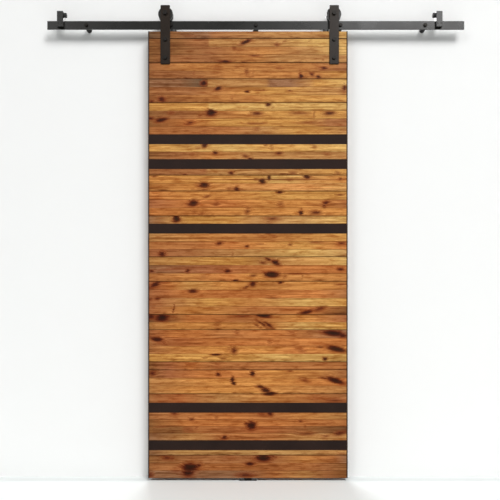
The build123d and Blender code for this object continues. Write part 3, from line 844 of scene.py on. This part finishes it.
# the wheels rub a line bright along the rail's top, as far as they run
def railWear(tree, place):
    axes = addNode(tree, "SeparateXYZ", None, {0: place}).outputs
    railLow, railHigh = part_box("rail")
    first = sum(corner.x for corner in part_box("wheel_left")) / 2 + slideRange[0]
    last = sum(corner.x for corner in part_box("wheel_right")) / 2 + slideRange[1]
    return allOf(tree, [
        within(tree, axes["Z"], railHigh.z, *wornSteel["railEdge"]),
        within(tree, axes["Y"], (railLow.y + railHigh.y) / 2, *wornSteel["railLine"]),
        within(tree, axes["X"], (first + last) / 2, (last - first) / (2 * mm), wornSteel["railEnds"]),
        scratches(tree, place, wornSteel["railScratch"]),
    ])


# and the wheel's groove is rubbed bright all round
def wheelWear(low, high):
    centre = (low + high) / 2

    def mask(tree, place):
        centred = addNode(
            tree, "Mapping", {"Location": (-centre.x, -centre.y, -centre.z)}, {"Vector": place}
        ).outputs[0]
        flat = addNode(tree, "VectorMath", {"operation": "MULTIPLY", 1: (1, 0, 1)}, {0: centred}).outputs[0]
        radius = addNode(tree, "VectorMath", {"operation": "LENGTH"}, {0: flat}).outputs["Value"]
        along = addNode(tree, "SeparateXYZ", None, {0: centred}).outputs["Y"]
        return allOf(tree, [
            within(tree, radius, wornSteel["treadRadius"] * mm, *wornSteel["grooveFloor"]),
            within(tree, along, 0.0, *wornSteel["groove"]),
            scratches(tree, place, wornSteel["grooveScratch"]),
        ])

    return mask


# black oxide on steel screws and nuts: dark, with a thin oily shine and faint scuffs
blackOxide = {
    "color": "#191715",
    "scuffColor": "#3A3733",
    "scuffSize": 2.5,       # mm
    "scuffDetail": 5.0,
    "scuffRange": (0.55, 0.8),
    "metallic": 0.7,        # the oxide takes away some of the metal's look
    "roughness": 0.42,
    "roughnessSpread": (-0.1, 0.15),
    "specular": 0.25,
}


def blackOxideMaterial():
    material, tree, shader = newMaterial("black oxide steel")
    place = addNode(tree, "TexCoord").outputs["Object"]
    scuff = addNode(
        tree,
        "TexNoise",
        {"Scale": 1 / (blackOxide["scuffSize"] * mm), "Detail": blackOxide["scuffDetail"]},
        {"Vector": place},
    ).outputs["Fac"]
    low, high = blackOxide["scuffRange"]
    share = addNode(tree, "MapRange", {"From Min": low, "From Max": high}, {"Value": scuff}).outputs[0]
    color = addNode(
        tree,
        "Mix",
        {"data_type": "RGBA", 6: linearColor(blackOxide["color"]), 7: linearColor(blackOxide["scuffColor"])},
        {0: share},
    ).outputs[2]
    tree.links.new(color, shader.inputs["Base Color"])
    shader.inputs["Metallic"].default_value = blackOxide["metallic"]
    shader.inputs["Specular IOR Level"].default_value = blackOxide["specular"]
    smoothest, roughest = [blackOxide["roughness"] + change for change in blackOxide["roughnessSpread"]]
    roughness = addNode(
        tree, "MapRange", {"To Min": smoothest, "To Max": roughest}, {"Value": scuff}
    ).outputs[0]
    tree.links.new(roughness, shader.inputs["Roughness"])
    return material


# ground bearing steel: bright, with fine rings from turning about the axle
bearingSteel = {
    "color": "#B9BABD",
    "ringPitch": 2.2,       # mm, drawn coarser than real ones so that they show
    "ringWobble": 1.5,
    "roughness": 0.24,
    "roughnessSpread": (-0.06, 0.1),
    "relief": 0.15,
    "reliefHeight": 0.05,   # mm
}
wavePhase = 20.0  # radians that a wave texture of scale 1 goes through in a metre


def bearingSteelMaterial(name, centre):
    material, tree, shader = newMaterial(name)
    place = addNode(tree, "TexCoord").outputs["Object"]
    centred = addNode(
        tree, "Mapping", {"Location": (-centre.x, -centre.y, -centre.z)}, {"Vector": place}
    ).outputs[0]
    rings = addNode(
        tree,
        "TexWave",
        {
            "wave_type": "RINGS",
            "rings_direction": "Y",
            "Scale": 2 * math.pi / (wavePhase * bearingSteel["ringPitch"] * mm),
            "Distortion": bearingSteel["ringWobble"],
        },
        {"Vector": centred},
    ).outputs["Fac"]
    smoothest, roughest = [bearingSteel["roughness"] + change for change in bearingSteel["roughnessSpread"]]
    roughness = addNode(
        tree, "MapRange", {"To Min": smoothest, "To Max": roughest}, {"Value": rings}
    ).outputs[0]
    tree.links.new(roughness, shader.inputs["Roughness"])
    shader.inputs["Base Color"].default_value = linearColor(bearingSteel["color"])
    shader.inputs["Metallic"].default_value = 1.0
    bump = addNode(
        tree,
        "Bump",
        {"Strength": bearingSteel["relief"], "Distance": bearingSteel["reliefHeight"] * mm},
        {"Height": rings},
    ).outputs[0]
    tree.links.new(bump, shader.inputs["Normal"])
    return material


# moulded nylon and rubber: matt black with the fine grain of the mould, in mm
moulded = {
    "nylon": {"color": "#1B1B1B", "roughness": 0.55, "grit": 0.6, "relief": 0.3},
    "rubber": {"color": "#161616", "roughness": 0.8, "grit": 0.9, "relief": 0.45},
}
gritShade = (0.8, 1.25)
gritHeight = 0.1 * mm


def mouldedMaterial(name, settings):
    material, tree, shader = newMaterial(name)
    place = addNode(tree, "TexCoord").outputs["Object"]
    grit = addNode(
        tree, "TexVoronoi", {"Scale": 1 / (settings["grit"] * mm)}, {"Vector": place}
    ).outputs["Distance"]
    shade = addNode(
        tree, "MapRange", {"To Min": gritShade[0], "To Max": gritShade[1]}, {"Value": grit}
    ).outputs[0]
    color = addNode(
        tree, "HueSaturation", {"Color": linearColor(settings["color"])}, {"Value": shade}
    ).outputs[0]
    tree.links.new(color, shader.inputs["Base Color"])
    shader.inputs["Roughness"].default_value = settings["roughness"]
    bump = addNode(
        tree, "Bump", {"Strength": settings["relief"], "Distance": gritHeight}, {"Height": grit}
    ).outputs[0]
    tree.links.new(bump, shader.inputs["Normal"])
    return material


railCoat = powderCoatMaterial("satin black powder coat", powderCoat["rail"], railWear)
spacerCoat = powderCoatMaterial("dull black powder coat on spacers", powderCoat["spacer"])
strapCoat = powderCoatMaterial("satin black powder coat on straps", powderCoat["strap"])
bandCoat = powderCoatMaterial("matt brown-black powder coat", powderCoat["band"])
edgeCoat = powderCoatMaterial("matt brown-black powder coat on edges", powderCoat["edge"])
oxide = blackOxideMaterial()
nylon = mouldedMaterial("moulded black nylon", moulded["nylon"])
rubber = mouldedMaterial("moulded black rubber", moulded["rubber"])

# each finish, and the starts of the names of the nodes that take it
finishes = (
    (railCoat, ("rail", "end_stop_")),
    (spacerCoat, ("spacer_",)),
    (strapCoat, ("strap_left", "strap_right")),
    (bandCoat, ("band_",)),
    (edgeCoat, ("edge_bar_",)),
    (nylon, ("anti_jump_discs", "floor_guide")),
    (rubber, ("bumper_",)),
    (oxide, ("lag_", "axle_bolts", "axle_nuts", "strap_bolts", "strap_washers", "strap_nuts")),
    (oxide, ("edge_screws", "disc_screws", "floor_guide_screws", "stop_set_screws")),
)
for material, starts in finishes:
    for name, obj in nodes.items():
        if name.startswith(starts):
            useMaterial(obj, material)
for side in ("left", "right"):
    wheelCoat = powderCoatMaterial(
        f"black powder coat on turned steel {side}", powderCoat["wheel"], wheelWear(*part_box(f"wheel_{side}"))
    )
    useMaterial(nodes[f"wheel_{side}"], wheelCoat)
    low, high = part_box(f"bearing_{side}")
    steel = bearingSteelMaterial(f"ground bearing steel {side}", (low + high) / 2)
    useMaterial(nodes[f"bearing_{side}"], steel)
    useMaterial(nodes[f"axle_sleeve_{side}"], steel)
print("stage: metals, plastic and rubber done")

# the wall screws' thread
thread = {
    "screws": 5,
    "pitch": 3.2,           # mm between turns
    "rootRadius": 3.5,      # mm, just inside the screw's core
    "crestRadius": 4.25,    # mm
    "width": 1.5,           # mm at the root
    "start": 9.0,           # mm behind the wall's face
    "turns": 11,
    "steps": 20,            # to a turn
}


# a ridge with a sharp crest, turned round each screw and drawn along it
def screwThreads():
    form = bmesh.new()
    for number in range(1, thread["screws"] + 1):
        low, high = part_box(f"spacer_{number}")
        middle = (low + high) / 2
        start = high.y + thread["start"] * mm
        ridge = [
            form.verts.new((middle.x + radius * mm, start + along * mm, middle.z))
            for radius, along in (
                (thread["rootRadius"], 0.0),
                (thread["crestRadius"], thread["width"] / 2),
                (thread["rootRadius"], thread["width"]),
            )
        ]
        face = form.faces.new(ridge)
        bmesh.ops.spin(
            form,
            geom=[*ridge, *face.edges, face],
            cent=(middle.x, start, middle.z),
            axis=(0, 1, 0),
            dvec=(0, thread["pitch"] * mm / thread["steps"], 0),
            angle=2 * math.pi * thread["turns"],
            steps=thread["turns"] * thread["steps"],
        )
    bmesh.ops.recalc_face_normals(form, faces=form.faces)
    mesh = bpy.data.meshes.new("lag_threads")
    form.to_mesh(mesh)
    form.free()
    piece = bpy.data.objects.new("lag_threads", mesh)
    bpy.context.collection.objects.link(piece)
    useMaterial(piece, oxide)
    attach(piece, "track")


screwThreads()
print("stage: threads done")

# a pale painted floor and wall
stageSettings = {
    "floorColor": "#EFF3F2",
    "wallColor": "#F0F0EF",
    "paintRoughness": 0.9,
    "paintSpecular": 0.1,
    "size": 9.0,            # metres
    "footHeight": 60 * mm,  # keeps light from the back out of the gap under the door
}


def stagePlane(name, corners, material):
    mesh = bpy.data.meshes.new(name)
    form = bmesh.new()
    form.faces.new([form.verts.new(corner) for corner in corners])
    form.to_mesh(mesh)
    form.free()
    plane = bpy.data.objects.new(name, mesh)
    bpy.context.collection.objects.link(plane)
    useMaterial(plane, material)
    plane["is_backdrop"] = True
    return plane


# matt paint: even, with no shine of its own
def paintMaterial(name, hexCode):
    material, tree, shader = newMaterial(name)
    shader.inputs["Base Color"].default_value = linearColor(hexCode)
    shader.inputs["Roughness"].default_value = stageSettings["paintRoughness"]
    shader.inputs["Specular IOR Level"].default_value = stageSettings["paintSpecular"]
    return material, tree, shader


half = stageSettings["size"] / 2
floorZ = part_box("floor_guide")[0].z
floorMaterial = paintMaterial("pale floor paint", stageSettings["floorColor"])[0]
floorCorners = [(-half, -half, floorZ), (half, -half, floorZ), (half, half, floorZ), (-half, half, floorZ)]
stagePlane("floor", floorCorners, floorMaterial)

# The wall shows only from the room's side, and only to the camera. Its foot does the opposite: it is
# there for the light alone.
wallMaterial, wallTree, wallShader = paintMaterial("white wall paint", stageSettings["wallColor"])
back = addNode(wallTree, "NewGeometry").outputs["Backfacing"]
clear = addNode(wallTree, "BsdfTransparent").outputs[0]
oneSided = addNode(wallTree, "MixShader", None, {0: back, 1: wallShader.outputs[0], 2: clear}).outputs[0]
wallOutput = next(node for node in wallTree.nodes if node.type == "OUTPUT_MATERIAL")
wallTree.links.new(oneSided, wallOutput.inputs["Surface"])
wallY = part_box("spacer_3")[1].y
for name, top in (("wall", half), ("wall foot", floorZ + stageSettings["footHeight"])):
    wallCorners = [(-half, wallY, floorZ), (half, wallY, floorZ), (half, wallY, top), (-half, wallY, top)]
    plane = stagePlane(name, wallCorners, wallMaterial)
    plane.visible_glossy = False
    if name == "wall":
        plane.visible_shadow = False
        plane.visible_diffuse = False
        plane.visible_transmission = False
    else:
        plane.visible_camera = False
print("stage: floor and wall done")

# places and sizes in metres, power in watts
lights = {
    "softbox": {"place": (3.6, -8.2, 6.0), "size": 4.6, "power": 860.0},
    "fill": {"place": (-5.5, -8.0, 4.6), "size": 3.5, "power": 190.0},
    "back": {"place": (-0.8, 6.5, 3.2), "size": 3.0, "power": 340.0},
}
aim = Vector((0, 0, -1.1))  # near the middle of the door
for name, light in lights.items():
    data = bpy.data.lights.new(name, "AREA")
    data.size = light["size"]
    data.energy = light["power"]
    lamp = bpy.data.objects.new(name, data)
    lamp.location = light["place"]
    lamp.rotation_euler = (aim - lamp.location).to_track_quat("-Z", "Y").to_euler()
    bpy.context.collection.objects.link(lamp)

# The room's light comes from above, and grows with the upward part of a direction. The camera,
# reflections and clear things see plain white.
room = {"upward": (-0.1, 0.7), "strength": (0.08, 0.5)}
world = bpy.data.worlds.new("soft room light")
bpy.context.scene.world = world
world.use_nodes = True
worldTree = world.node_tree
worldTree.nodes.clear()
ray = addNode(worldTree, "LightPath")
seen = ray.outputs["Is Camera Ray"]
for kind in ("Is Glossy Ray", "Is Transmission Ray"):
    seen = addNode(worldTree, "Math", {"operation": "MAXIMUM"}, {0: seen, 1: ray.outputs[kind]}).outputs[0]
towards = addNode(worldTree, "TexCoord").outputs["Generated"]
upward = addNode(worldTree, "SeparateXYZ", None, {0: towards}).outputs["Z"]
roomLevel = addNode(
    worldTree, "MapRange", dict(zip(fromTo, (*room["upward"], *room["strength"]))), {"Value": upward}
).outputs[0]
strength = addNode(worldTree, "Mix", {3: 1.0}, {0: seen, 2: roomLevel}).outputs[0]
sky = addNode(worldTree, "Background", {"Color": (1, 1, 1, 1)}, {"Strength": strength}).outputs[0]
addNode(worldTree, "OutputWorld", None, {"Surface": sky})

# the camera stands square to the door, a little below its middle, with a small shift up
camera = {
    "sensor": 36.0,            # mm
    "pictureWidth": 2.386,     # metres across the picture at the door's face
    "distance": 2.75,          # metres from the door's face
    "x": -0.0277,              # metres
    "aboveFloor": 0.8306,      # metres
    "pictureMiddle": 1.1026,   # metres above the floor at the picture's middle, at the door's face
}
cameraData = bpy.data.cameras.new("camera")
cameraData.sensor_width = camera["sensor"]
cameraData.lens = cameraData.sensor_width * camera["distance"] / camera["pictureWidth"]
cameraData.shift_y = (camera["pictureMiddle"] - camera["aboveFloor"]) / camera["pictureWidth"]
cameraObject = bpy.data.objects.new("camera", cameraData)
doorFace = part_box("board_01")[0].y
cameraObject.location = (camera["x"], doorFace - camera["distance"], floorZ + camera["aboveFloor"])
cameraObject.rotation_euler = (math.radians(90), 0, 0)
bpy.context.collection.objects.link(cameraObject)
bpy.context.scene.camera = cameraObject
bpy.context.scene.view_settings.view_transform = "Standard"
print("stage: light and camera done")

low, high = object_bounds()
